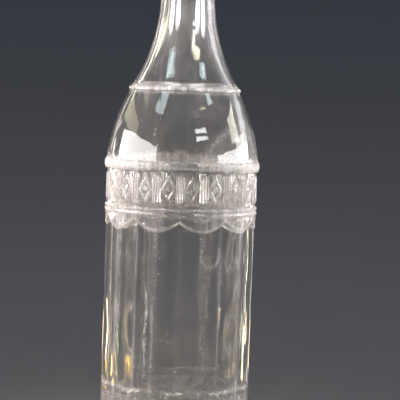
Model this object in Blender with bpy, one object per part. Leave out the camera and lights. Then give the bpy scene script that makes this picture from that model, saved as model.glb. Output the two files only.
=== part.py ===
"""A clear glass soda bottle closed by a crown cork.

The bottle is one moulded piece of glass: a heel, ten upright reeds under a scalloped edge, a band
between a double ring and a bead, a domed shoulder, a flared neck and a crown finish. The crown cork is a
fluted steel shell that holds a cork disc, and the disc carries a thin foil spot over the mouth.

Metres, Z up. The bottle stands on Z = 0 with its axis on Z, and the groove between two reeds faces -Y.
"""

import math

import bmesh
import bpy

# Bottle: heights above the base.
BOTTLE_HEIGHT = 0.2180
REED_BOTTOM = 0.0236
REED_TOP = 0.0887
DOUBLE_RING_Z = 0.0965
BEAD_Z = 0.1148
NECK_RING_Z = 0.1463
NECK_START_Z = 0.1850
COLLAR_Z = 0.2028

# Bottle: radii.
BEARING_INNER = 0.0205
BEARING_OUTER = 0.0245
BODY_RADIUS = 0.0311
BAND_RADIUS = 0.0315
SHOULDER_RADIUS = 0.0317
NECK_RING_RADIUS = 0.0229
NECK_RADIUS = 0.0113
LIP_RADIUS = 0.0132
MOUTH_RADIUS = 0.0080

# Bottle: the shapes on it.
PUSH_UP = 0.0030
REEDS = 10
GROOVE_DEPTH = 0.0019
SCALLOP_RISE = 0.0036
HEEL_DROP = 0.0009
REED_STEP = 0.0006
RING_PROUD = 0.0004
RING_HALF_HEIGHT = 0.0007
RING_SPACING = 0.0018
BEAD_PROUD = 0.0008
BEAD_HALF_HEIGHT = 0.0020
NECK_RING_HALF_HEIGHT = 0.0009
NECK_RING_PROUD = 0.0005
SHOULDER_START_TILT = 5.5
SHOULDER_END_TILT = 26.5
COLLAR_PROUD = 0.0021
COLLAR_HALF_HEIGHT = 0.0024
LIP_CURVE = 0.0024
LIP_UNDERSIDE_Z = 0.2130
LIP_EDGE_Z = 0.2144

# Cavity.
WALL = 0.0044
NECK_WALL = 0.0031
BASE_THICKNESS = 0.0062
INNER_HEEL = 0.0090
MOUTH_FILLET = 0.0008

# Crown cork.
CLEARANCE = 0.0003
SPOT_RADIUS = 0.0100
SPOT_THICKNESS = 0.00025
CORK_RADIUS = 0.0126
CORK_THICKNESS = 0.0016
CROWN_HEIGHT = 0.0060
CROWN_STEEL = 0.0003
CROWN_CORNER = 0.0013
CROWN_SKIRT_RADIUS = 0.0138
CROWN_TEETH = 24
TOOTH_PROUD = 0.0007

# Facets. A point nearer to the axis than ON_AXIS is on it.
ON_AXIS = 1e-6
STEPS_PER_REED = 6
CAVITY_SEGMENTS = 40
TOOTH_SEGMENTS = 4
DISC_SEGMENTS = 48


def clear_scene():
    for old in list(bpy.data.objects):
        bpy.data.objects.remove(old)


def material(name, colour, roughness, metallic=0.0, transmission=0.0):
    made = bpy.data.materials.new(name)
    made.use_nodes = True
    shader = made.node_tree.nodes["Principled BSDF"]
    shader.inputs["Base Color"].default_value = (*colour, 1.0)
    shader.inputs["Roughness"].default_value = roughness
    shader.inputs["Metallic"].default_value = metallic
    shader.inputs["Transmission Weight"].default_value = transmission
    return made


def arc(centre, radius, start, end, steps):
    """Points (r, z) on a circle from one angle to another, both ends included, 0 degrees at +r."""
    points = []
    for i in range(steps + 1):
        angle = math.radians(start + (end - start) * i / steps)
        points.append((centre[0] + radius * math.cos(angle), centre[1] + radius * math.sin(angle)))
    return points


def tangent_arc(foot, top, start_tilt, end_tilt, steps):
    """Points of a convex curve from foot to top that leans in by start_tilt and then by end_tilt degrees."""
    points = []
    across, up = 0.0, 0.0
    for i in range(steps):
        share = (i + 0.5) / steps
        tilt = math.radians(start_tilt + (end_tilt - start_tilt) * share)
        across += math.sin(tilt)
        up += math.cos(tilt)
        points.append((across, up))
    run, rise = points[-1]
    lean, height = foot[0] - top[0], top[1] - foot[1]
    return [foot] + [(foot[0] - lean * a / run, foot[1] + height * u / rise) for a, u in points]


def bump(radius, z, half_height, proud, steps):
    """Points of a rounded ring that stands out of a wall of that radius, from its foot up to its top."""
    points = []
    for i in range(steps + 1):
        angle = math.pi * i / steps
        points.append((radius + proud * math.sin(angle), z - half_height * math.cos(angle)))
    return points


def dome(half_width, rise, steps):
    """Points of a shallow arch under the base, from its crown on the axis to its foot at Z = 0."""
    radius = (half_width**2 + rise**2) / (2 * rise)
    half_angle = math.degrees(math.asin(half_width / radius))
    return arc((0.0, rise - radius), radius, 90.0, 90.0 - half_angle, steps)


def neck_flare(start_radius, start_z, end_radius, end_z, steps):
    """Points of the hollow curve from the neck ring up to the straight neck, where it ends upright."""
    across, up = start_radius - end_radius, end_z - start_z
    sweep = 2 * math.degrees(math.atan2(across, up))
    radius = up / math.sin(math.radians(sweep))
    return arc((end_radius + radius, end_z), radius, 180.0 + sweep, 180.0, steps)


def plain(points):
    """Outline points as rows (r, z, groove's depth, groove's rise) that no groove touches."""
    return [(r, z, 0.0, 0.0) for r, z in points]


def reed_rows():
    """The rows at the two ends of the reeds, which lie between them and end higher at each groove."""
    return [
        (BODY_RADIUS, REED_BOTTOM - REED_STEP, 0.0, -HEEL_DROP),
        (BODY_RADIUS, REED_BOTTOM, GROOVE_DEPTH, -HEEL_DROP),
        (BODY_RADIUS, REED_TOP, GROOVE_DEPTH, SCALLOP_RISE),
        (BAND_RADIUS, REED_TOP + REED_STEP, 0.0, SCALLOP_RISE),
    ]


def bottle_rows():
    """The outside of the bottle, from the axis under the base to the axis at the top of the lip."""
    heel = BODY_RADIUS - BEARING_OUTER
    groove_radius = NECK_RADIUS + CLEARANCE
    shoulder_foot = (SHOULDER_RADIUS, BEAD_Z + BEAD_HALF_HEIGHT)
    shoulder_top = (NECK_RING_RADIUS, NECK_RING_Z - NECK_RING_HALF_HEIGHT)
    ring_top = NECK_RING_Z + NECK_RING_HALF_HEIGHT
    lip_flat = LIP_RADIUS - LIP_CURVE

    rows = plain(dome(BEARING_INNER, PUSH_UP, 3))
    rows += plain(arc((BEARING_OUTER, heel), heel, -90.0, 0.0, 4))
    rows += reed_rows()
    for z in (DOUBLE_RING_Z - RING_SPACING / 2, DOUBLE_RING_Z + RING_SPACING / 2):
        rows += plain(bump(BAND_RADIUS, z, RING_HALF_HEIGHT, RING_PROUD, 4))
    rows += plain(bump(SHOULDER_RADIUS, BEAD_Z, BEAD_HALF_HEIGHT, BEAD_PROUD, 5))
    rows += plain(
        tangent_arc(shoulder_foot, shoulder_top, SHOULDER_START_TILT, SHOULDER_END_TILT, 5)[1:]
    )
    rows.append((NECK_RING_RADIUS + NECK_RING_PROUD, NECK_RING_Z - NECK_RING_HALF_HEIGHT / 2, 0, 0))
    rows.append((NECK_RING_RADIUS, NECK_RING_Z + NECK_RING_HALF_HEIGHT / 2, 0, 0))
    rows += plain(
        neck_flare(NECK_RING_RADIUS - NECK_RING_PROUD, ring_top, NECK_RADIUS, NECK_START_Z, 6)
    )
    rows += plain(bump(NECK_RADIUS, COLLAR_Z, COLLAR_HALF_HEIGHT, COLLAR_PROUD, 5))
    rows += plain([(groove_radius, LIP_UNDERSIDE_Z), (LIP_RADIUS, LIP_EDGE_Z)])
    rows += plain(arc((lip_flat, BOTTLE_HEIGHT - LIP_CURVE), LIP_CURVE, 0.0, 90.0, 4))
    rows += plain([(0.0, BOTTLE_HEIGHT)])
    return rows


def cavity_rows():
    """The space inside the glass, from the axis on the inner floor up through the mouth."""
    floor = PUSH_UP + BASE_THICKNESS
    inner_body = BODY_RADIUS - WALL
    inner_neck = NECK_RADIUS - NECK_WALL
    foot = (inner_body, BEAD_Z)
    top = (NECK_RING_RADIUS - WALL, NECK_RING_Z)
    fillet_z = BOTTLE_HEIGHT - MOUTH_FILLET

    rows = [(0.0, floor)]
    rows += arc((inner_body - INNER_HEEL, floor + INNER_HEEL), INNER_HEEL, -90.0, 0.0, 4)
    rows += tangent_arc(foot, top, SHOULDER_START_TILT, SHOULDER_END_TILT, 4)
    rows += neck_flare(top[0], top[1], inner_neck, NECK_START_Z, 5)[1:]
    rows += [(inner_neck, COLLAR_Z), (MOUTH_RADIUS, COLLAR_Z + COLLAR_HALF_HEIGHT)]
    rows += [(MOUTH_RADIUS, fillet_z), (MOUTH_RADIUS + MOUTH_FILLET, BOTTLE_HEIGHT)]
    rows += [(MOUTH_RADIUS + MOUTH_FILLET, BOTTLE_HEIGHT + WALL), (0.0, BOTTLE_HEIGHT + WALL)]
    return plain(rows)


def even_angles(count):
    """Angles of the segments, in degrees from -Y towards +X."""
    return [360.0 * i / count for i in range(count)]


def groove_share(angle):
    """How far the groove reaches at this angle, from 0 on a reed's crest to 1 between two reeds."""
    pitch = 360.0 / REEDS
    from_crest = abs(angle % pitch - pitch / 2)
    return (from_crest / (pitch / 2)) ** 2


def place(r, z, angle):
    """A point at radius r and height z, at an angle in degrees from -Y towards +X."""
    turn = math.radians(angle)
    return (r * math.sin(turn), -r * math.cos(turn), z)


def revolved(name, rows, angles, tooth=None):
    """A closed solid turned about Z from rows that start and end on the axis."""
    mesh = bmesh.new()
    rings = []
    for r, z, depth, rise in rows:
        if r < ON_AXIS:
            rings.append([mesh.verts.new((0.0, 0.0, z))])
            continue
        ring = []
        for angle in angles:
            radius = r - depth * groove_share(angle)
            if tooth:
                radius += tooth(angle, z)
            height = z + rise * groove_share(angle)
            ring.append(mesh.verts.new(place(radius, height, angle)))
        rings.append(ring)
    for lower, upper in zip(rings, rings[1:]):
        for i in range(len(angles)):
            after = (i + 1) % len(angles)
            corners = [lower[i % len(lower)], lower[after % len(lower)]]
            corners += [upper[after % len(upper)], upper[i % len(upper)]]
            mesh.faces.new(list(dict.fromkeys(corners)))
    bmesh.ops.recalc_face_normals(mesh, faces=mesh.faces)
    data = bpy.data.meshes.new(name)
    mesh.to_mesh(data)
    mesh.free()
    data.shade_smooth()
    data.set_sharp_from_angle(angle=math.radians(40.0))
    made = bpy.data.objects.new(name, data)
    bpy.context.scene.collection.objects.link(made)
    return made


def make_bottle(glass):
    bottle = revolved("bottle", bottle_rows(), even_angles(REEDS * STEPS_PER_REED))
    bottle.data.materials.append(glass)
    cavity = revolved("cavity_cutter", cavity_rows(), even_angles(CAVITY_SEGMENTS))
    cavity.hide_render = True
    cavity.display_type = "WIRE"
    cut = bottle.modifiers.new("cavity", "BOOLEAN")
    cut.operation = "DIFFERENCE"
    cut.solver = "EXACT"
    cut.object = cavity
    return bottle


def disc_rows(radius, bottom, thickness):
    top = bottom + thickness
    return plain([(0.0, bottom), (radius, bottom), (radius, top), (0.0, top)])


def crown_rows(top):
    """The steel shell as one folded outline: out and down its outside, then up and in its inside."""
    hem = top - CROWN_HEIGHT
    outer = CROWN_SKIRT_RADIUS
    inner = outer - CROWN_STEEL
    corner = (outer - CROWN_CORNER, top - CROWN_CORNER)
    rows = [(0.0, top)]
    rows += arc(corner, CROWN_CORNER, 90.0, 0.0, 3)
    rows += [(outer, hem + CROWN_HEIGHT / 3), (outer, hem), (inner, hem)]
    rows += [(inner, hem + CROWN_HEIGHT / 3)]
    rows += arc(corner, CROWN_CORNER - CROWN_STEEL, 0.0, 90.0, 3)
    rows += [(0.0, top - CROWN_STEEL)]
    return plain(rows)


def make_crown(steel, cork, foil):
    """The crown cork's three pieces, stacked on the lip with a small gap between them."""
    pivot = bpy.data.objects.new("crown_lift", None)
    pivot.location = (0.0, 0.0, BOTTLE_HEIGHT)
    bpy.context.scene.collection.objects.link(pivot)
    bpy.context.view_layer.update()

    spot_z = BOTTLE_HEIGHT + CLEARANCE
    cork_z = spot_z + SPOT_THICKNESS + CLEARANCE
    top = cork_z + CORK_THICKNESS + CLEARANCE + CROWN_STEEL
    skirt_drop = CROWN_HEIGHT - CROWN_CORNER

    def tooth(angle, z):
        """How far the skirt stands out here: its teeth grow from the corner down to the hem."""
        depth = min(1.0, max(0.0, (top - CROWN_CORNER - z) / skirt_drop))
        wave = 0.5 + 0.5 * math.cos(math.radians(CROWN_TEETH * angle))
        return TOOTH_PROUD * depth * wave

    pieces = [
        (revolved("foil_spot", disc_rows(SPOT_RADIUS, spot_z, SPOT_THICKNESS),
                  even_angles(DISC_SEGMENTS)), foil),
        (revolved("cork_disc", disc_rows(CORK_RADIUS, cork_z, CORK_THICKNESS),
                  even_angles(DISC_SEGMENTS)), cork),
        (revolved("crown_shell", crown_rows(top),
                  even_angles(CROWN_TEETH * TOOTH_SEGMENTS), tooth), steel),
    ]
    for piece, finish in pieces:
        piece.data.materials.append(finish)
        piece.parent = pivot
        piece.matrix_parent_inverse = pivot.matrix_world.inverted()


def main():
    clear_scene()
    glass = material("clear_glass", (0.95, 0.97, 0.93), 0.03, transmission=1.0)
    steel = material("tinplate", (0.72, 0.71, 0.68), 0.32, metallic=1.0)
    cork = material("cork", (0.62, 0.43, 0.26), 0.85)
    foil = material("foil", (0.82, 0.83, 0.84), 0.28, metallic=1.0)
    make_bottle(glass)
    make_crown(steel, cork, foil)


main()
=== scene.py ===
"""The look of the glass soda bottle: worn clear glass with painted highlights, a tinplate crown
cork, a low-key studio.
"""

import math

import bmesh
import bpy
import numpy as np
from mathutils import Matrix, Vector


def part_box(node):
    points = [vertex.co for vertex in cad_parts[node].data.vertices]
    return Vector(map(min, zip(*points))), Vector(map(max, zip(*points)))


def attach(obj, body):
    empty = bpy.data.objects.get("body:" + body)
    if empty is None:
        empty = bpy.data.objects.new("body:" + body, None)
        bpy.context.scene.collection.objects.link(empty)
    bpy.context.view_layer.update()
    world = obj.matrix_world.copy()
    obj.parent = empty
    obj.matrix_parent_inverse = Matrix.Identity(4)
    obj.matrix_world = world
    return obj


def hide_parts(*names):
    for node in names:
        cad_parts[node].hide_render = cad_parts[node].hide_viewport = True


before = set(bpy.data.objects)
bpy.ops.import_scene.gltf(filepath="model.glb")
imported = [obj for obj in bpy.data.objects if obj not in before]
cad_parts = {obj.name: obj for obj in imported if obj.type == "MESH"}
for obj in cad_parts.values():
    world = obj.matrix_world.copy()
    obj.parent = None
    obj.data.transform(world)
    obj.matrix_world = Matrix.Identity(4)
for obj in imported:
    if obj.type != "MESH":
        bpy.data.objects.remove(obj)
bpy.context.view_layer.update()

MM = 0.001
RANDOM_SEED = 11

# Heights and radii of the outside of the glass, in millimetres, as the design has them.
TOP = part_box("bottle")[1].z / MM
PUSH_UP = 3.0
BEARING_INNER = 20.5
BEARING_OUTER = 24.5
BODY_RADIUS = 31.1
BAND_RADIUS = 31.2
STRIP_RADIUS = 31.5
SHOULDER_RADIUS = 31.7
NECK_RING_RADIUS = 22.9
NECK_RADIUS = 11.3
LIP_RADIUS = 13.2
MOUTH_RADIUS = 8.0
REED_LOW = 23.6
REED_HIGH = 88.7
RING_Z = 96.5
FRIEZE_LOW = 98.6
FRIEZE_HIGH = 112.2
BEAD_Z = 114.8
NECK_RING_Z = 146.3
NECK_START = 185.0
COLLAR_Z = 202.8
LIP_UNDERSIDE = 213.0
LIP_EDGE = 214.4
LIP_CURVE = 2.4

# The reeds, and the scalloped edge above them.
REEDS = 10
PITCH = 360.0 / REEDS
GROOVE_DEPTH = 1.9
SCALLOP = 3.6
HEEL_DROP = 0.9
STEP_WIDTH = 0.8

# Rings.
BEAD_HALF = 2.2
BEAD_PROUD = 0.8
RING_HALF = 0.55
RING_PROUD = 0.42
RING_SPACING = 1.8
NECK_RING_HALF = 1.0
NECK_RING_PROUD = 0.5
COLLAR_HALF = 2.4
COLLAR_PROUD = 2.1

# The frieze in the band: lozenges with three upright bars between them.
MOTIFS = 20
RELIEF = 0.42
LOZENGE_HALF = (3.0, 5.2)
LOZENGE_OUTLINE = 0.86
STUD_RADIUS = 1.15
STUD_CROWN = 0.7
BAR_HALF_WIDTH = 0.36
BAR_SPACING = 1.25
BAR_HALF_HEIGHT = 5.6

# The mould's seams, a fine ridge up each side of the bottle, as (angle, strength). They sway on
# their way up: by how many degrees, and over what length.
SEAMS = ((-20.5, 1.0), (159.5, 0.04))
SEAM_PROUD = 0.07
SEAM_WIDTH = 0.7
SEAM_SWAY = (2.2, 23.0)
SEAM_COUNTER_SWAY = (1.2, 9.0)

# How scuffed the glass is all round, and how much less of it there is on the clear side facing the
# camera: painted shade that keeps the middle dark.
CLEAR_SIDE = 6.0
CLEAR_WIDTH = 24.0
MOST_SCUFFED = 1.32
CLEARED = 1.08

# The chain of blisters under the seam, with a dotted track of painted glints over it.
CHAIN_ANGLE = -23.8
CHAIN_LOW = 30.0
CHAIN_HIGH = 66.0
CHAIN_SWAY = (0.9, 4.0)
DOT_WAVE = 2.9
DOT_CONTRAST = 0.75
TRAIL_ANGLE = -19.0
TRAIL_HIGH = 150.0
BLISTER_DEPTH = 1.0
GROOVE_BLISTER_DEPTH = 2.4
LOOSE_BLISTERS = 44
LOOSE_LOW = 28.0
LOOSE_HIGH = 135.0

# A painted reflection on the right of the shoulder: a broad dim lamp seen in the inner wall,
# painted as a haze under a brighter curved edge.
PAINTED_REFLECTION_ANGLE = 57.0
PAINTED_REFLECTION_HALF_ANGLE = 40.0
PAINTED_REFLECTION_Z = 117.0
PAINTED_REFLECTION_HEIGHT = 14.5
PAINTED_REFLECTION_HAZE = 0.13
PAINTED_REFLECTION_EDGE = 0.24

# A smear shaped like a U at the top of the reeds, right of the middle.
SMEAR_ANGLE = 25.5
SMEAR_Z = 79.0
SMEAR_RADIUS = 4.3
SMEAR_TOP = 88.0
SMEAR_WIDTH = 0.7
SMEAR_WEAR = 0.40

# Lean of the shoulder's curve at its foot and at its top, in degrees, outside and inside.
SHOULDER_LEAN = (5.5, 26.5)
INNER_LEAN = (5.5, 28.0)

# Slow unevenness of the surfaces: how far, and waves as (waves round the bottle, length along it).
BODY_WAVINESS = 0.05
BODY_WAVES = ((3, 41.0), (5, 27.0), (2, 63.0), (8, 17.0))
SHOULDER_WAVINESS = 0.07
SHOULDER_WAVES = ((4, 23.0), (7, 15.0), (3, 37.0), (9, 11.0))
INNER_WAVINESS = 0.28
INNER_WAVES = ((2, 67.0), (3, 48.0), (5, 34.0), (1, 90.0), (7, 29.0))

# Wear, from 0 for clear glass to 1 for a white scuffed skin; on some marks the white is a painted
# highlight.
BASE_WEAR = 0.07
CREST_WEAR = 0.30
GROOVE_WEAR = 0.22
STRIP_WEAR_AND_REFLECTION = 0.32
EDGE_WEAR_AND_REFLECTION = 0.6
RING_WEAR = 0.55
BAND_WEAR = 0.20
RELIEF_WEAR = 0.55
SEAM_WEAR = 0.12
FOOT_WEAR = 0.22
BEARING_WEAR = 0.55
BEAD_WEAR = 0.95
SHOULDER_FOOT_WEAR = 0.05
SHOULDER_SEAM_WEAR = 0.10
NECK_WEAR = 0.05
NECK_WEAR_LOW = 148.0
NECK_WEAR_HIGH = 170.0
# The neck ring's white band is a painted highlight.
NECK_RING_PAINTED_HIGHLIGHT = 0.72
LIP_WEAR = 0.16

# The inside of the glass.
WALL = 4.4
NECK_WALL = 3.1
FLOOR = 9.4
INNER_HEEL = 9.0
MOUTH_FILLET = 0.8

# The crown cork. Its heights are above the bottle's lip.
SPOT_RADIUS = 10.0
SPOT_LOW = 0.30
SPOT_HIGH = 0.55
SPOT_EDGE = 0.1
SPOT_RIPPLE = 0.08
CORK_RADIUS = 12.6
CORK_LOW = 0.85
CORK_HIGH = 2.45
CORK_EDGE = 0.3
CROWN_TOP = 3.05
CROWN_HEIGHT = 6.0
CROWN_STEEL = 0.3
CROWN_CORNER = 1.3
CROWN_SKIRT = 13.8
CROWN_TEETH = 24
TOOTH_PROUD = 0.7
POINTS_PER_TOOTH = 16

# Points in a row.
FINEST = 960
FINE = 480
MEDIUM = 240
COARSE = 120


def smooth(edge0, edge1, x):
    """0 up to edge0 and 1 from edge1, eased between them. The edges may fall instead of rise."""
    t = np.clip((x - edge0) / (edge1 - edge0), 0.0, 1.0)
    return t * t * (3.0 - 2.0 * t)


def hump(x, width):
    """1 at 0, falling away on both sides over about that width."""
    return np.exp(-((x / width) ** 2))


def angles(count):
    """Angles of a row's points, in degrees from -Y towards +X."""
    return np.arange(count) * 360.0 / count


def ring(radius, z, count, wear_and_painted_light=0.0):
    """A row of points (x, y, z, wear and painted light). Radius, z and the last are numbers, or one
    for each point.
    """
    turn = np.radians(angles(count))
    radius, z, wear_and_painted_light = (np.broadcast_to(v, count) for v in (radius, z, wear_and_painted_light))
    return np.stack([radius * np.sin(turn), -radius * np.cos(turn), z, wear_and_painted_light], 1)


def arc(centre, radius, start, end, steps):
    """Points (r, z) on a circle from one angle to another, with both ends. 0 degrees is at +r."""
    turn = np.radians(np.linspace(start, end, steps + 1))
    return [(centre[0] + radius * math.cos(a), centre[1] + radius * math.sin(a)) for a in turn]


def leaning_curve(foot, top, start_tilt, end_tilt, steps):
    """Points of a convex curve from foot to top. It leans in by start_tilt, and more to the end."""
    tilt = np.radians(start_tilt + (end_tilt - start_tilt) * (np.arange(steps) + 0.5) / steps)
    across = np.concatenate([[0.0], np.cumsum(np.sin(tilt))])
    up = np.concatenate([[0.0], np.cumsum(np.cos(tilt))])
    r = foot[0] - (foot[0] - top[0]) * across / across[-1]
    z = foot[1] + (top[1] - foot[1]) * up / up[-1]
    return list(zip(r, z))


def flare(start, end, steps):
    """Points of the hollow curve that ends upright at the straight neck."""
    across, up = start[0] - end[0], end[1] - start[1]
    sweep = 2 * math.degrees(math.atan2(across, up))
    radius = up / math.sin(math.radians(sweep))
    return arc((end[0] + radius, end[1]), radius, 180.0 + sweep, 180.0, steps)


def bump(radius, z, half, proud, steps):
    """Points of a rounded ring that stands out of a wall of that radius, from its foot up."""
    turn = np.linspace(0.0, math.pi, steps + 1)
    return [(radius + proud * math.sin(a), z - half * math.cos(a)) for a in turn]


def from_crest(angle):
    """How far it is to the nearest reed's crest: 0 on it, 1 in a groove. One groove faces -Y."""
    return np.abs(np.mod(angle, PITCH) - PITCH / 2) / (PITCH / 2)


def seam(angle, z):
    """How near a point is to a seam, from 0 to 1. The seams wander a little on their way up."""
    near = 0.0
    for middle, strength in SEAMS:
        path = middle + SEAM_SWAY[0] * math.sin(z / SEAM_SWAY[1])
        path -= SEAM_COUNTER_SWAY[0] * math.sin(z / SEAM_COUNTER_SWAY[1])
        off = np.mod(angle - path + 180.0, 360.0) - 180.0
        near = near + strength * hump(off, SEAM_WIDTH)
    return near


def scuffing_and_shade(angle):
    """How scuffed a side of the bottle is, with painted shade: least at the clear side facing the
    camera, and full away from it.
    """
    off = np.mod(angle - CLEAR_SIDE + 180.0, 360.0) - 180.0
    return MOST_SCUFFED - CLEARED * hump(off, CLEAR_WIDTH)


def painted_reflection(angle, z):
    """The painted reflection on the shoulder, of a broad dim lamp in the inner wall: a haze under a
    brighter curved edge.
    """
    if z < PAINTED_REFLECTION_Z:
        return 0.0
    out = np.hypot((angle - PAINTED_REFLECTION_ANGLE) / PAINTED_REFLECTION_HALF_ANGLE, (z - PAINTED_REFLECTION_Z) / PAINTED_REFLECTION_HEIGHT)
    return PAINTED_REFLECTION_HAZE * smooth(1.02, 0.94, out) + PAINTED_REFLECTION_EDGE * hump(out - 0.98, 0.06)


def smear(angle, z):
    """The U-shaped smear: half a ring with two arms that fade as they rise."""
    across = np.radians(angle - SMEAR_ANGLE) * BODY_RADIUS
    off = np.hypot(across, min(z - SMEAR_Z, 0.0)) - SMEAR_RADIUS
    return SMEAR_WEAR * hump(off, SMEAR_WIDTH) * smooth(SMEAR_TOP, SMEAR_Z, z)


def painted_chain_glints(angle, z):
    """Painted glints: white dots over the chain of blisters, wider near its top."""
    path = CHAIN_ANGLE + CHAIN_SWAY[0] * math.sin(z / CHAIN_SWAY[1])
    width = 0.75 + 0.45 * smooth(50.0, 57.0, z)
    ends = smooth(CHAIN_LOW - 3.0, CHAIN_LOW, z) * smooth(CHAIN_HIGH + 1.0, CHAIN_HIGH - 1.0, z)
    dots = 1.0 - DOT_CONTRAST + DOT_CONTRAST * abs(math.sin(DOT_WAVE * z))
    return dots * ends * hump(np.mod(angle - path + 180.0, 360.0) - 180.0, width)


def frieze(angle, z):
    """The band's relief, 0 to 1: outlined lozenges with a stud in each, and bars between them."""
    pitch = 360.0 / MOTIFS
    arc_length = math.radians(1.0) * BAND_RADIUS
    x = (np.mod(angle, pitch) - pitch / 2) * arc_length
    y = z - (FRIEZE_LOW + FRIEZE_HIGH) / 2
    lozenge = np.abs(x) / LOZENGE_HALF[0] + abs(y) / LOZENGE_HALF[1]
    outline = smooth(0.26, 0.10, np.abs(lozenge - LOZENGE_OUTLINE))
    stud = smooth(STUD_RADIUS, STUD_CROWN, np.hypot(x, y))
    beside = pitch / 2 * arc_length - np.abs(x)
    bars = smooth(BAR_HALF_WIDTH + 0.18, BAR_HALF_WIDTH - 0.12, beside)
    bars += smooth(BAR_HALF_WIDTH + 0.18, BAR_HALF_WIDTH - 0.12, np.abs(beside - BAR_SPACING))
    bars *= smooth(BAR_HALF_HEIGHT, BAR_HALF_HEIGHT - 0.6, abs(y))
    return np.maximum(np.maximum(outline, stud), bars)


def waves(angle, z, strength, sizes, seed):
    """Slow unevenness of a glass surface: a few waves round the bottle and along it."""
    phases = np.random.RandomState(seed).uniform(0, 2 * math.pi, (len(sizes), 2))
    total = np.zeros_like(angle, dtype=float)
    for (around, length), phase in zip(sizes, phases):
        total += np.sin(np.radians(around * angle) + phase[0]) * math.sin(
            2 * math.pi * z / length + phase[1]
        )
    return strength * total / len(sizes)


def body_row(z, count):
    """A row of the outside between the heel and the shoulder bead, where all the relief is."""
    angle = angles(count)
    away = from_crest(angle)
    top_edge = REED_HIGH + SCALLOP * away**2
    low_edge = REED_LOW - HEEL_DROP * away**2
    reeded = smooth(top_edge + STEP_WIDTH, top_edge, z)
    reeded = reeded * smooth(low_edge - STEP_WIDTH, low_edge, z)
    strip = STRIP_RADIUS if z > REED_HIGH - 1.0 else BODY_RADIUS
    radius = strip + (BODY_RADIUS - GROOVE_DEPTH * away**2 - strip) * reeded
    radius += (BAND_RADIUS - STRIP_RADIUS) * smooth(RING_Z + 0.9, RING_Z + 1.8, z)
    rings = sum(hump(z - RING_Z - side * RING_SPACING / 2, RING_HALF) for side in (-1, 1))
    in_band = smooth(FRIEZE_LOW - 0.3, FRIEZE_LOW + 0.3, z)
    relief = frieze(angle, z) * in_band if in_band > 0 else 0.0
    seams = seam(angle, z)
    radius += RING_PROUD * rings + RELIEF * relief + SEAM_PROUD * seams
    radius += waves(angle, z, BODY_WAVINESS, BODY_WAVES, RANDOM_SEED)

    # Above the scallops and on their step, the white is partly wear and partly painted reflection
    # of the lamps.
    above = smooth(top_edge - 0.6, top_edge + 0.8, z)
    edge = hump(z - top_edge - STEP_WIDTH / 2, 0.8) + 0.5 * hump(z - low_edge, 1.0)
    wear_and_painted_light = CREST_WEAR * hump(away, 0.13) + GROOVE_WEAR * hump(away - 1.0, 0.10)
    wear_and_painted_light = wear_and_painted_light + STRIP_WEAR_AND_REFLECTION * above * (1.0 - in_band)
    wear_and_painted_light = wear_and_painted_light + EDGE_WEAR_AND_REFLECTION * edge + RING_WEAR * rings
    wear_and_painted_light = wear_and_painted_light + in_band * (BAND_WEAR + RELIEF_WEAR * relief) + SEAM_WEAR * seams
    # The white dots along the chain of blisters are painted glints.
    wear_and_painted_light = BASE_WEAR + wear_and_painted_light * scuffing_and_shade(angle) + smear(angle, z) + painted_chain_glints(angle, z)
    return ring(radius, z, count, np.clip(wear_and_painted_light, 0.0, 1.0))


def plain_rows(path, count, wear_at, seed=None):
    """Rows along points (r, z), with the wear that wear_at gives for each height, and the painted
    reflection and highlight.
    """
    angle = angles(count)
    rows = []
    for r, z in path:
        wavy = SEAM_PROUD * seam(angle, z) * (z > REED_LOW)
        if seed:
            wavy = wavy + waves(angle, z, SHOULDER_WAVINESS, SHOULDER_WAVES, seed)
        # Less of the white skin on the side facing the camera is painted shade.
        wear_and_painted_light = BASE_WEAR + wear_at(z) * scuffing_and_shade(angle)
        # The shoulder's haze with a brighter curved edge is a painted reflection.
        wear_and_painted_light = wear_and_painted_light + SHOULDER_SEAM_WEAR * seam(angle, z) + painted_reflection(angle, z)
        # The white band on the neck ring is a painted highlight.
        wear_and_painted_light = wear_and_painted_light + NECK_RING_PAINTED_HIGHLIGHT * hump(z - NECK_RING_Z, NECK_RING_HALF * 1.2)
        rows.append(ring(r + wavy * min(1.0, r / SHOULDER_RADIUS), z, count, wear_and_painted_light))
    return rows


def foot_wear(z):
    """Wear of the heel and the base: most on the bearing ring."""
    return BEARING_WEAR * hump(z, 1.6) + FOOT_WEAR


def shoulder_wear(z):
    """Wear from the bead up: nearly all of it is on the bead."""
    bead = hump(z - BEAD_Z, BEAD_HALF * 1.05)
    lower = smooth(BEAD_Z + 10.0, BEAD_Z + 1.0, z)
    neck = smooth(NECK_WEAR_LOW, NECK_WEAR_HIGH, z)
    return BEAD_WEAR * bead + SHOULDER_FOOT_WEAR * lower + NECK_WEAR * neck


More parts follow.
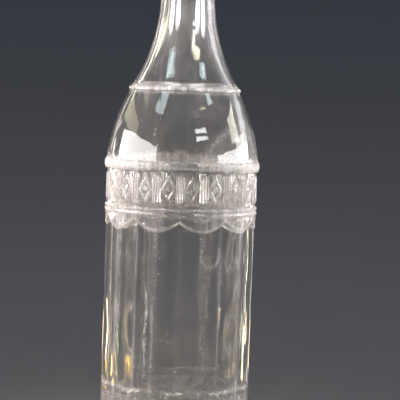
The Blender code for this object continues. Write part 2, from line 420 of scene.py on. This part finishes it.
def outer_rows():
    """The outside, from the axis under the base up to the mouth's edge."""
    heel = BODY_RADIUS - BEARING_OUTER
    dome_radius = (BEARING_INNER**2 + PUSH_UP**2) / (2 * PUSH_UP)
    dome_end = 90.0 - math.degrees(math.asin(BEARING_INNER / dome_radius))
    path = arc((0.0, PUSH_UP - dome_radius), dome_radius, 90.0, dome_end, 8)[1:]
    path += [(BEARING_INNER + 0.3, 0.0), (BEARING_OUTER - 0.3, 0.0)]
    path += arc((BEARING_OUTER, heel), heel, -90.0, 0.0, 12)
    path += [(BODY_RADIUS, z) for z in np.linspace(heel + 2.0, REED_LOW - 3.2, 6)]
    rows = [np.array([[0.0, 0.0, PUSH_UP, 0.0]])]
    rows += plain_rows(path, MEDIUM, foot_wear)

    # Rows lie closest where the relief and the marks are.
    band_foot = RING_Z + RING_SPACING / 2 + 0.9
    levels = np.concatenate([
        np.arange(REED_LOW - 2.4, REED_LOW + 1.5, 0.5),
        np.arange(REED_LOW + 2.4, CHAIN_HIGH + 1.0, 1.3),
        np.arange(CHAIN_HIGH + 2.5, SMEAR_Z - SMEAR_RADIUS - 2.5, 2.6),
        np.arange(SMEAR_Z - SMEAR_RADIUS - 1.6, REED_HIGH - 1.4, 1.0),
        np.arange(REED_HIGH - 1.2, REED_HIGH + SCALLOP + STEP_WIDTH + 0.5, 0.45),
        np.arange(REED_HIGH + SCALLOP + STEP_WIDTH + 0.8, band_foot, 0.40),
    ])
    rows += [body_row(z, FINE) for z in levels]
    rows += [body_row(z, FINEST) for z in np.arange(band_foot, FRIEZE_HIGH + 0.2, 0.62)]
    rows.append(body_row(FRIEZE_HIGH + 0.36, FINE))

    foot = (SHOULDER_RADIUS, BEAD_Z + BEAD_HALF)
    top = (NECK_RING_RADIUS, NECK_RING_Z - NECK_RING_HALF)
    path = bump(SHOULDER_RADIUS, BEAD_Z, BEAD_HALF, BEAD_PROUD, 10)
    path += leaning_curve(foot, top, *SHOULDER_LEAN, 18)[1:]
    path += [
        (NECK_RING_RADIUS + NECK_RING_PROUD, NECK_RING_Z - NECK_RING_HALF * 0.6),
        (NECK_RING_RADIUS + NECK_RING_PROUD, NECK_RING_Z + NECK_RING_HALF * 0.1),
        (NECK_RING_RADIUS, NECK_RING_Z + NECK_RING_HALF * 0.75),
    ]
    foot = (NECK_RING_RADIUS - 0.6, NECK_RING_Z + NECK_RING_HALF)
    path += flare(foot, (NECK_RADIUS, NECK_START), 18)
    path += [(NECK_RADIUS, z) for z in np.linspace(NECK_START + 3, COLLAR_Z - COLLAR_HALF - 2, 4)]
    rows += plain_rows(path, MEDIUM, shoulder_wear, RANDOM_SEED + 2)
    path = bump(NECK_RADIUS, COLLAR_Z, COLLAR_HALF, COLLAR_PROUD, 8)
    path += [(NECK_RADIUS + 0.3, LIP_UNDERSIDE - 3.0), (NECK_RADIUS + 0.4, LIP_UNDERSIDE)]
    path += [(LIP_RADIUS - 0.5, LIP_EDGE - 0.6), (LIP_RADIUS, LIP_EDGE)]
    path += arc((LIP_RADIUS - LIP_CURVE, TOP - LIP_CURVE), LIP_CURVE, 0.0, 90.0, 10)
    rows += [ring(r, z, MEDIUM, LIP_WEAR) for r, z in path]
    return rows


def inner_rows():
    """The inside, from the mouth's edge down to the axis on the inner floor."""
    inner_body = BODY_RADIUS - WALL
    inner_neck = NECK_RADIUS - NECK_WALL
    foot = (inner_body, BEAD_Z)
    top = (NECK_RING_RADIUS - WALL + 0.8, NECK_RING_Z)
    path = arc((inner_body - INNER_HEEL, FLOOR + INNER_HEEL), INNER_HEEL, -84.0, 0.0, 10)
    path = [(r, FLOOR) for r in (4.0, 9.0, 14.0)] + path
    path += [(inner_body, z) for z in np.linspace(FLOOR + INNER_HEEL + 2, BEAD_Z - 2, 24)]
    path += leaning_curve(foot, top, *INNER_LEAN, 14)
    path += flare(top, (inner_neck, NECK_START), 16)[1:]
    path += [(inner_neck, COLLAR_Z - 6), (inner_neck, COLLAR_Z), (MOUTH_RADIUS, COLLAR_Z + 3)]
    path += arc((MOUTH_RADIUS + MOUTH_FILLET, TOP - MOUTH_FILLET), MOUTH_FILLET, 180.0, 90.0, 4)
    rows = []
    for r, z in reversed(path):
        strength = INNER_WAVINESS * smooth(0.0, 12.0, TOP - 20 - z) * min(1.0, r / inner_body)
        wavy = waves(angles(COARSE), z, strength, INNER_WAVES, RANDOM_SEED + 1)
        rows.append(ring(r + wavy, z, COARSE))
    rows.append(np.array([[0.0, 0.0, FLOOR, 0.0]]))
    return rows


def stitched(rows):
    """Points and faces of a skin over rows whose point counts are equal, halve, double or are 1."""
    starts = np.cumsum([0] + [len(row) for row in rows])
    faces = []
    for k, (low, high) in enumerate(zip(rows, rows[1:])):
        a, b, n, m = starts[k], starts[k + 1], len(low), len(high)
        for i in range(max(n, m) if 1 in (n, m) else min(n, m)):
            if n == 1:
                faces.append((a, b + (i + 1) % m, b + i)[::-1])
            elif m == 1:
                faces.append((a + i, a + (i + 1) % n, b))
            elif n == m:
                j = (i + 1) % n
                faces.append((a + i, a + j, b + j, b + i))
            elif m == 2 * n:
                j = (i + 1) % n
                faces.append((a + i, a + j, b + 2 * j, b + 2 * i + 1, b + 2 * i))
            else:
                j = (i + 1) % m
                faces.append((a + 2 * i, a + 2 * i + 1, a + 2 * j, b + j, b + i))
    return np.concatenate(rows), faces


def add_bubbles(work):
    """Blisters in the glass: a chain of them, a thin trail above it, and a few anywhere."""
    rng = np.random.RandomState(RANDOM_SEED + 5)
    spots = []
    for z in np.arange(CHAIN_LOW, CHAIN_HIGH, 1.3):
        angle = CHAIN_ANGLE + rng.uniform(-1.0, 1.0)
        spots.append((angle, z + rng.uniform(-0.3, 0.3), rng.uniform(0.42, 0.78)))
    for z in np.arange(CHAIN_HIGH + 1.0, TRAIL_HIGH, 2.6):
        angle = TRAIL_ANGLE + rng.uniform(-5.0, 5.0)
        spots.append((angle, z + rng.uniform(-1.0, 1.0), rng.uniform(0.2, 0.38)))
    for _ in range(LOOSE_BLISTERS):
        angle = rng.uniform(-180.0, 180.0)
        spots.append((angle, rng.uniform(LOOSE_LOW, LOOSE_HIGH), rng.uniform(0.15, 0.36)))
    for angle, z, size in spots:
        turn = math.radians(angle)
        lean = smooth(BEAD_Z, NECK_RING_Z, z) ** 1.5 * (SHOULDER_RADIUS - NECK_RING_RADIUS)
        in_groove = z <= BEAD_Z and from_crest(angle) >= 0.5
        depth = GROOVE_BLISTER_DEPTH if in_groove else BLISTER_DEPTH
        r = BODY_RADIUS - depth - lean
        place = Vector((r * math.sin(turn), -r * math.cos(turn), z)) * MM
        matrix = Matrix.Translation(place) @ Matrix.Diagonal((1.0, 1.0, rng.uniform(1.0, 1.7), 1.0))
        made = bmesh.ops.create_icosphere(work, subdivisions=1, radius=size * MM, matrix=matrix)
        faces = {face for vert in made["verts"] for face in vert.link_faces}
        for face in faces:
            face.smooth = True
        bmesh.ops.reverse_faces(work, faces=list(faces))


def piece_from(name, rows, material, smooth_angle=40.0, bubbles=False):
    """A closed piece skinned over the rows, with its wear and painted light kept at each point."""
    points, faces = stitched(rows)
    mesh = bpy.data.meshes.new(name)
    mesh.from_pydata((points[:, :3] * MM).tolist(), [], faces)
    mesh.attributes.new("wear_and_painted_light", "FLOAT", "POINT").data.foreach_set("value", points[:, 3])
    work = bmesh.new()
    work.from_mesh(mesh)
    bmesh.ops.recalc_face_normals(work, faces=work.faces)
    if bubbles:
        add_bubbles(work)
    work.to_mesh(mesh)
    work.free()
    mesh.shade_smooth()
    mesh.set_sharp_from_angle(angle=math.radians(smooth_angle))
    made = bpy.data.objects.new(name, mesh)
    bpy.context.scene.collection.objects.link(made)
    made.data.materials.append(material)
    return made


def new_material(name):
    """A node material, with its nodes, its links and its shader."""
    made = bpy.data.materials.new(name)
    made.use_nodes = True
    nodes = made.node_tree.nodes
    return made, nodes, made.node_tree.links, nodes["Principled BSDF"]


def noise(nodes, links, scale, detail=3.0, stretch=(1.0, 1.0, 1.0), roughness=0.55):
    """A noise value over the object's own coordinates, with scale in bumps per millimetre."""
    where = nodes.new("ShaderNodeTexCoord")
    mapping = nodes.new("ShaderNodeMapping")
    mapping.inputs["Scale"].default_value = stretch
    texture = nodes.new("ShaderNodeTexNoise")
    texture.inputs["Scale"].default_value = scale / MM
    texture.inputs["Detail"].default_value = detail
    texture.inputs["Roughness"].default_value = roughness
    links.new(where.outputs["Object"], mapping.inputs["Vector"])
    links.new(mapping.outputs["Vector"], texture.inputs["Vector"])
    return texture.outputs["Fac"]


def to_range(nodes, links, value, low, high, start=0.0, end=1.0):
    """The value taken from low..high to start..end, and held there beyond them."""
    node = nodes.new("ShaderNodeMapRange")
    node.inputs["From Min"].default_value = low
    node.inputs["From Max"].default_value = high
    node.inputs["To Min"].default_value = start
    node.inputs["To Max"].default_value = end
    links.new(value, node.inputs["Value"])
    return node.outputs["Result"]


def multiplied(nodes, links, first, second):
    """The product of two node outputs."""
    node = nodes.new("ShaderNodeMath")
    node.operation = "MULTIPLY"
    for socket, value in zip(node.inputs, (first, second)):
        links.new(value, socket)
    return node.outputs["Value"]


def colours(nodes, links, value, stops):
    """A colour ramp over the value. Stops are (place, colour)."""
    ramp = nodes.new("ShaderNodeValToRGB")
    while len(ramp.color_ramp.elements) < len(stops):
        ramp.color_ramp.elements.new(0.5)
    for element, (place, colour) in zip(ramp.color_ramp.elements, stops):
        element.position = place
        element.color = (*colour, 1.0)
    links.new(value, ramp.inputs["Fac"])
    return ramp.outputs["Color"]


def add_bump(nodes, links, shader, height, strength, distance):
    """Bumps on the shader's surface from a height, with their depth in millimetres."""
    node = nodes.new("ShaderNodeBump")
    node.inputs["Strength"].default_value = strength
    node.inputs["Distance"].default_value = distance * MM
    links.new(height, node.inputs["Height"])
    links.new(node.outputs["Normal"], shader.inputs["Normal"])


# Glass: its own finish, its faint tint, and the white skin on it, of scuffs and of painted
# highlights.
GLASS_IOR = 1.52
GLASS_ROUGHNESS = 0.035
GLASS_TINT = (0.93, 0.90, 0.60, 1.0)
TINT_DENSITY = 15.0
# The white skin's colours serve both scuffs and painted highlights.
SCUFF_AND_HIGHLIGHT_COLOUR = (0.96, 0.89, 0.87, 1.0)
SCUFF_AND_HIGHLIGHT_THROUGH = (0.96, 0.88, 0.83, 1.0)
SHARE_THROUGH = 0.35


def glass_material():
    """Clear glass with a straw tint, and a white skin wherever the wear and the painted light are.
    """
    made, nodes, links, shader = new_material("flint_glass_worn_and_painted")
    shader.inputs["Base Color"].default_value = (1.0, 1.0, 1.0, 1.0)
    shader.inputs["Transmission Weight"].default_value = 1.0
    shader.inputs["IOR"].default_value = GLASS_IOR
    shader.inputs["Roughness"].default_value = GLASS_ROUGHNESS
    ripple = noise(nodes, links, scale=0.09, detail=2.0, stretch=(1.0, 1.0, 0.45))
    add_bump(nodes, links, shader, ripple, strength=0.35, distance=0.5)

    # The attribute holds scuff wear and painted light: painted highlights, glints and a reflection,
    # and painted shade where it is held low.
    wear_and_painted_light = nodes.new("ShaderNodeAttribute")
    wear_and_painted_light.attribute_name = "wear_and_painted_light"
    grain = noise(nodes, links, scale=1.3, detail=4.0)
    grain = to_range(nodes, links, grain, 0.38, 0.62, start=0.60, end=1.15)
    patches = noise(nodes, links, scale=0.07, detail=2.0)
    patches = to_range(nodes, links, patches, 0.35, 0.65, start=0.55, end=1.1)
    streaks = noise(nodes, links, scale=0.55, detail=4.0, stretch=(1.0, 1.0, 0.07))
    streaks = to_range(nodes, links, streaks, 0.36, 0.70, start=0.6, end=1.5)
    wear_and_light = multiplied(nodes, links, wear_and_painted_light.outputs["Fac"], grain)
    wear_and_light = multiplied(nodes, links, wear_and_light, patches)
    mask = multiplied(nodes, links, wear_and_light, streaks)

    scuff_and_highlight = nodes.new("ShaderNodeBsdfDiffuse")
    scuff_and_highlight.inputs["Color"].default_value = SCUFF_AND_HIGHLIGHT_COLOUR
    through = nodes.new("ShaderNodeBsdfTranslucent")
    through.inputs["Color"].default_value = SCUFF_AND_HIGHLIGHT_THROUGH
    skin = nodes.new("ShaderNodeMixShader")
    skin.inputs["Fac"].default_value = SHARE_THROUGH
    links.new(scuff_and_highlight.outputs["BSDF"], skin.inputs[1])
    links.new(through.outputs["BSDF"], skin.inputs[2])
    mix = nodes.new("ShaderNodeMixShader")
    links.new(mask, mix.inputs["Fac"])
    links.new(shader.outputs["BSDF"], mix.inputs[1])
    links.new(skin.outputs["Shader"], mix.inputs[2])
    links.new(mix.outputs["Shader"], nodes["Material Output"].inputs["Surface"])

    absorb = nodes.new("ShaderNodeVolumeAbsorption")
    absorb.inputs["Color"].default_value = GLASS_TINT
    absorb.inputs["Density"].default_value = TINT_DENSITY
    links.new(absorb.outputs["Volume"], nodes["Material Output"].inputs["Volume"])
    return made


def tin_material():
    """Satin tinplate, duller in patches, with fine scratches."""
    made, nodes, links, shader = new_material("worn_tinplate")
    shader.inputs["Metallic"].default_value = 1.0
    dull = noise(nodes, links, scale=0.35, detail=4.0)
    tint = colours(nodes, links, dull, [
        (0.30, (0.50, 0.47, 0.42)), (0.48, (0.68, 0.66, 0.62)), (0.72, (0.80, 0.79, 0.76))])
    links.new(tint, shader.inputs["Base Color"])
    scratches = noise(nodes, links, scale=1.1, detail=5.0, stretch=(1.0, 0.06, 0.5), roughness=0.7)
    satin = to_range(nodes, links, scratches, 0.35, 0.7, start=0.34, end=0.56)
    links.new(satin, shader.inputs["Roughness"])
    add_bump(nodes, links, shader, scratches, strength=0.25, distance=0.05)
    return made


def cork_material():
    """Pressed cork: grains of several browns."""
    made, nodes, links, shader = new_material("pressed_cork")
    grains = nodes.new("ShaderNodeTexVoronoi")
    grains.inputs["Scale"].default_value = 0.9 / MM
    where = nodes.new("ShaderNodeTexCoord")
    links.new(where.outputs["Object"], grains.inputs["Vector"])
    tint = colours(nodes, links, grains.outputs["Color"], [
        (0.15, (0.26, 0.14, 0.07)), (0.35, (0.52, 0.34, 0.19)), (0.8, (0.70, 0.51, 0.32))])
    links.new(tint, shader.inputs["Base Color"])
    shader.inputs["Roughness"].default_value = 0.85
    add_bump(nodes, links, shader, grains.outputs["Distance"], strength=0.5, distance=0.15)
    return made


def foil_material():
    """Thin foil with soft creases, its colour darker in their hollows as painted shade."""
    made, nodes, links, shader = new_material("crinkled_foil")
    shader.inputs["Metallic"].default_value = 1.0
    creases = noise(nodes, links, scale=0.7, detail=3.0)
    # Painted shade: the colour is darker where the crease height is low.
    tint = colours(nodes, links, creases, [(0.3, (0.74, 0.75, 0.77)), (0.7, (0.90, 0.91, 0.92))])
    links.new(tint, shader.inputs["Base Color"])
    sheen = to_range(nodes, links, creases, 0.3, 0.7, start=0.18, end=0.34)
    links.new(sheen, shader.inputs["Roughness"])
    add_bump(nodes, links, shader, creases, strength=0.6, distance=0.12)
    return made


def make_bottle():
    """The bottle's glass, one closed skin, outside and inside."""
    rows = outer_rows() + inner_rows()
    bottle = piece_from("bottle_glass", rows, glass_material(), bubbles=True)
    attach(bottle, "bottle")
    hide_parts("bottle")


def crown_rows():
    """The steel shell: out over the top, down the toothed skirt, and back up inside it."""
    top, hem = CROWN_TOP, CROWN_TOP - CROWN_HEIGHT
    corner = (CROWN_SKIRT - CROWN_CORNER, top - CROWN_CORNER)
    angle = angles(CROWN_TEETH * POINTS_PER_TOOTH)
    teeth = (0.5 + 0.5 * np.cos(np.radians(CROWN_TEETH * angle))) ** 0.8

    def row(r, z):
        depth = smooth(top - CROWN_CORNER, hem + 0.6, z)
        return ring(r + TOOTH_PROUD * depth * teeth, TOP + z, len(angle))

    skirt_top = top - CROWN_CORNER - 0.4
    outside = [(r, top) for r in (3.0, 6.0, 9.0, 11.4)]
    outside += arc(corner, CROWN_CORNER, 90.0, 0.0, 8)
    outside += [(CROWN_SKIRT, z) for z in np.linspace(skirt_top, hem, 12)]
    inside = [(CROWN_SKIRT - CROWN_STEEL, z) for z in np.linspace(hem, skirt_top, 12)]
    inside += arc(corner, CROWN_CORNER - CROWN_STEEL, 0.0, 90.0, 8)
    inside += [(r, top - CROWN_STEEL) for r in (9.0, 4.0)]
    rows = [np.array([[0.0, 0.0, TOP + top, 0.0]])]
    rows += [row(r, z) for r, z in outside + inside]
    rows.append(np.array([[0.0, 0.0, TOP + top - CROWN_STEEL, 0.0]]))
    return rows


def disc_rows(radius, low, high, edge, ripple=0.0):
    """A disc with a rounded edge, whose rim may ripple a little."""
    turn = np.radians(angles(MEDIUM))
    wavy = ripple * np.sin(turn * 17) * np.cos(turn * 5)
    path = [(r, low) for r in (radius * 0.4, radius * 0.8)]
    path += arc((radius - edge, low + edge), edge, -90.0, 0.0, 4)
    path += arc((radius - edge, high - edge), edge, 0.0, 90.0, 4)
    path += [(r, high) for r in (radius * 0.8, radius * 0.4)]
    rows = [np.array([[0.0, 0.0, TOP + low, 0.0]])]
    rows += [ring(r + wavy * (r > radius * 0.9), TOP + z, MEDIUM) for r, z in path]
    rows.append(np.array([[0.0, 0.0, TOP + high, 0.0]]))
    return rows


def make_crown():
    """The crown cork: its steel shell, the cork disc in it, and the foil spot on that."""
    cork = disc_rows(CORK_RADIUS, CORK_LOW, CORK_HIGH, CORK_EDGE)
    spot = disc_rows(SPOT_RADIUS, SPOT_LOW, SPOT_HIGH, SPOT_EDGE, SPOT_RIPPLE)
    for name, node, slot, rows, look in (
        ("crown_tin", "crown_shell", "tinplate", crown_rows(), tin_material()),
        ("cork_liner", "cork_disc", "cork", cork, cork_material()),
        ("foil_liner", "foil_spot", "foil", spot, foil_material()),
    ):
        piece = piece_from(name, rows, look, smooth_angle=50.0)
        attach(piece, "crown")
        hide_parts(node)


# Camera, at the photograph's viewing angle, in metres and degrees. Its sensor is in millimetres.
SENSOR_WIDTH = 36.0
EYE_HEIGHT = 0.146
EYE_DISTANCE = 0.680
EYE_ASIDE = 0.008
AIM_HEIGHT = 0.100
FIELD_OF_VIEW = 14.08
ROLL = 2.09

# Floor, in metres, and the backdrop's colours from the floor's far edge up.
FLOOR_RADIUS = 3.5
FLOOR_SIDES = 96
FLOOR_EDGE = (0.054, 0.054, 0.061)
HORIZON = (0.043, 0.046, 0.055)
ABOVE_HORIZON = (0.035, 0.040, 0.048)
ZENITH = (0.089, 0.086, 0.095)

# Lamps: two widths of beam in degrees, the height of the crown cork in metres, and colours.
TIGHT = 20.0
NARROW = 26.0
CROWN_AIM = 0.218
COOL_WHITE = (0.97, 0.98, 1.0)
ROSE_WHITE = (1.0, 0.95, 0.94)
CREAM = (1.0, 0.95, 0.86)
PALE_CYAN = (0.78, 0.97, 1.0)
PALE_YELLOW = (1.0, 0.94, 0.62)
LILAC = (0.94, 0.93, 1.0)
WARM = (1.0, 0.76, 0.48)
AMBER = (1.0, 0.62, 0.12)
LIME = (0.93, 1.0, 0.48)


def make_camera():
    """The camera, a little to one side and above, turned by the photograph's tilt."""
    data = bpy.data.cameras.new("camera")
    data.sensor_width = SENSOR_WIDTH
    data.lens = SENSOR_WIDTH / 2 / math.tan(math.radians(FIELD_OF_VIEW / 2))
    camera = bpy.data.objects.new("camera", data)
    bpy.context.scene.collection.objects.link(camera)
    eye = Vector((EYE_ASIDE, -EYE_DISTANCE, EYE_HEIGHT))
    aim = Vector((EYE_ASIDE, 0.0, AIM_HEIGHT))
    turn = (aim - eye).to_track_quat("-Z", "Y").to_matrix().to_4x4()
    roll = Matrix.Rotation(math.radians(ROLL), 4, "Z")
    camera.matrix_world = Matrix.Translation(eye) @ turn @ roll
    bpy.context.scene.camera = camera


def make_lamp(name, azimuth, elevation, distance, size, radiance, height, colour=COOL_WHITE,
              spread=180.0, lights="bottle", shift=0.0, through=True):
    """A soft box that faces a point on the bottle's axis at that height.

    Azimuth 0 is the camera's side and 90 is on its right. Size is its width and its height.
    A spread below 180 narrows its beam. It lights one part of the scene, or everything. Shift moves
    it and the point it faces along Y. Without through, it isn't seen refracted in the glass.
    """
    data = bpy.data.lights.new(name, "AREA")
    data.shape = "RECTANGLE"
    data.size, data.size_y = size
    data.energy = radiance * math.pi * size[0] * size[1]
    data.color = colour
    data.spread = math.radians(spread)
    lamp = bpy.data.objects.new(name, data)
    bpy.context.scene.collection.objects.link(lamp)
    around, up = math.radians(azimuth), math.radians(elevation)
    away = Vector((math.sin(around) * math.cos(up), -math.cos(around) * math.cos(up), math.sin(up)))
    lamp.location = Vector((0.0, shift, height)) + away * distance
    lamp.rotation_euler = away.to_track_quat("Z", "Y").to_euler()
    lamp.visible_camera = False
    lamp.visible_transmission = through
    if lights != "everything":
        lamp.light_linking.receiver_collection = bpy.data.collections["lit_" + lights]


def make_world():
    """The backdrop: a dark grey that meets the floor's far edge, a little lighter overhead."""
    world = bpy.data.worlds.new("studio")
    bpy.context.scene.world = world
    world.use_nodes = True
    nodes, links = world.node_tree.nodes, world.node_tree.links
    where = nodes.new("ShaderNodeTexCoord")
    split = nodes.new("ShaderNodeSeparateXYZ")
    links.new(where.outputs["Generated"], split.inputs["Vector"])
    height = to_range(nodes, links, split.outputs["Z"], -0.05, 0.95)
    sky = colours(nodes, links, height, [
        (0.012, FLOOR_EDGE), (0.05, HORIZON), (0.11, ABOVE_HORIZON), (0.3, ABOVE_HORIZON),
        (1.0, ZENITH)])
    links.new(sky, nodes["Background"].inputs["Color"])
    bpy.context.scene.view_settings.view_transform = "Standard"


def make_floor():
    """A plain grey disc under the bottle, wide enough to reach the backdrop."""
    mesh = bpy.data.meshes.new("floor")
    turn = np.radians(angles(FLOOR_SIDES))
    rim = [(FLOOR_RADIUS * math.cos(a), FLOOR_RADIUS * math.sin(a), 0.0) for a in turn]
    mesh.from_pydata(rim, [], [tuple(range(FLOOR_SIDES))])
    floor = bpy.data.objects.new("floor", mesh)
    bpy.context.scene.collection.objects.link(floor)
    made, nodes, links, shader = new_material("floor_paper")
    fibres = noise(nodes, links, scale=0.02, detail=4.0)
    tint = colours(nodes, links, fibres, [(0.3, (0.78, 0.78, 0.79)), (0.7, (0.82, 0.82, 0.82))])
    links.new(tint, shader.inputs["Base Color"])
    shader.inputs["Roughness"].default_value = 0.9
    mesh.materials.append(made)
    return floor


def make_studio():
    """The floor, the backdrop, and lamps that each make one of the highlights in the glass."""
    bottle = [bpy.data.objects["bottle_glass"]]
    crown = [bpy.data.objects[name] for name in ("crown_tin", "cork_liner", "foil_liner")]
    floor = [make_floor()]
    for name, things in (("lit_bottle", bottle), ("lit_crown", crown), ("lit_floor", floor)):
        lit = bpy.data.collections.new(name)
        for thing in things:
            lit.objects.link(thing)
    make_world()

    # In each line: name, azimuth, elevation, distance, size, radiance, height it faces, colour.
    # Upright highlights on the neck, then the long ones and the window panes on the shoulder.
    for side, azimuth, colour in (("left", -38, ROSE_WHITE), ("left_outer", -64, ROSE_WHITE),
                                  ("right", 42, COOL_WHITE), ("right_outer", 66, COOL_WHITE)):
        make_lamp("neck_" + side, azimuth, 13, 0.14, (0.050, 0.036), 1.5, 0.178, colour,
                  spread=28, through=False)
    make_lamp("shoulder_left", -74, 9.6, 0.25, (0.36, 0.062), 15.0, 0.130, ROSE_WHITE,
              through=False)
    make_lamp("shoulder_right", 85, 7.6, 0.25, (0.32, 0.040), 15.0, 0.124, COOL_WHITE,
              through=False)
    make_lamp("corner_right", 100, 9, 0.25, (0.09, 0.040), 9.0, 0.130, CREAM)
    for pane, elevation in (("upper", 28.4), ("lower", 24.2)):
        make_lamp("pane_" + pane, 31, elevation, 0.80, (0.23, 0.036), 18.0, 0.125, through=False)
    # Coloured patches on the shoulder and the flare.
    make_lamp("cyan_window", -50, 44, 0.60, (0.15, 0.17), 8.0, 0.135, PALE_CYAN)
    make_lamp("yellow_spot", 40, 35, 0.20, (0.066, 0.025), 0.45, 0.168, PALE_YELLOW, spread=TIGHT)
    make_lamp("white_column", 26, 30, 0.20, (0.030, 0.033), 0.35, 0.172, CREAM, spread=TIGHT)
    make_lamp("high_window", 60, 46, 0.60, (0.09, 0.10), 10.0, 0.145, PALE_CYAN)
    make_lamp("cream_patch", -105, 21, 0.50, (0.40, 0.08), 3.0, 0.130, PALE_YELLOW)
    # Light from behind and above, on the outline and in the bead.
    make_lamp("rim_right", 130, 25, 0.70, (0.36, 0.60), 0.75, 0.120, LILAC)
    make_lamp("top_left", -70, 76, 0.60, (0.20, 0.20), 12.0, 0.115, ROSE_WHITE)
    make_lamp("top_right", 70, 76, 0.60, (0.20, 0.20), 10.0, 0.115, COOL_WHITE)
    make_lamp("rim_left", -142, 24, 0.70, (0.10, 0.55), 2.0, 0.120, CREAM)
    # Low lights from behind: through the band, along the body's edges, and in the foot.
    make_lamp("band_right", 140, -3, 0.30, (0.08, 0.045), 0.11, 0.108, CREAM, spread=NARROW)
    make_lamp("band_left", -138, -3, 0.30, (0.08, 0.045), 0.13, 0.108, ROSE_WHITE, spread=NARROW)
    make_lamp("strip_right", 164, -8, 0.15, (0.007, 0.076), 0.18, 0.061, CREAM, spread=NARROW)
    make_lamp("strip_left", -160, -8, 0.15, (0.006, 0.076), 0.12, 0.061, CREAM, spread=NARROW)
    make_lamp("edge_right", 156, -9, 0.15, (0.020, 0.024), 0.50, 0.042, WARM, spread=NARROW)
    make_lamp("edge_left", -158, -9, 0.15, (0.014, 0.024), 0.45, 0.044, WARM, spread=NARROW)
    make_lamp("amber_card", -141, -9, 0.12, (0.020, 0.014), 0.36, 0.027, AMBER, spread=NARROW)
    make_lamp("lime_card", 147, -9, 0.12, (0.005, 0.036), 0.50, 0.035, LIME, spread=NARROW)
    make_lamp("line_right", 145, -8, 0.15, (0.006, 0.076), 0.24, 0.061, CREAM, spread=NARROW)
    # The crown cork, the whole scene from above, and the pale pool in front of the foot.
    make_lamp("crown_key", -30, 45, 0.40, (0.30, 0.30), 3.0, CROWN_AIM, lights="crown")
    make_lamp("crown_fill", 100, 20, 0.40, (0.20, 0.30), 2.0, CROWN_AIM, CREAM, lights="crown")
    make_lamp("crown_back", -150, 25, 0.40, (0.25, 0.30), 1.1, CROWN_AIM, lights="crown")
    make_lamp("crown_low_front", 40, -25, 0.40, (0.50, 0.22), 1.2, CROWN_AIM, lights="crown")
    make_lamp("crown_low_back", -130, -20, 0.40, (0.50, 0.22), 1.2, CROWN_AIM, lights="crown")
    make_lamp("overhead", 0, 89.9, 1.30, (0.50, 0.50), 0.75, 0.0, lights="everything")
    make_lamp("foot_pool", 0, 82, 0.60, (0.06, 0.06), 1.3, 0.0, spread=30, lights="floor",
              shift=-0.07)


make_bottle()
make_crown()
make_camera()
make_studio()
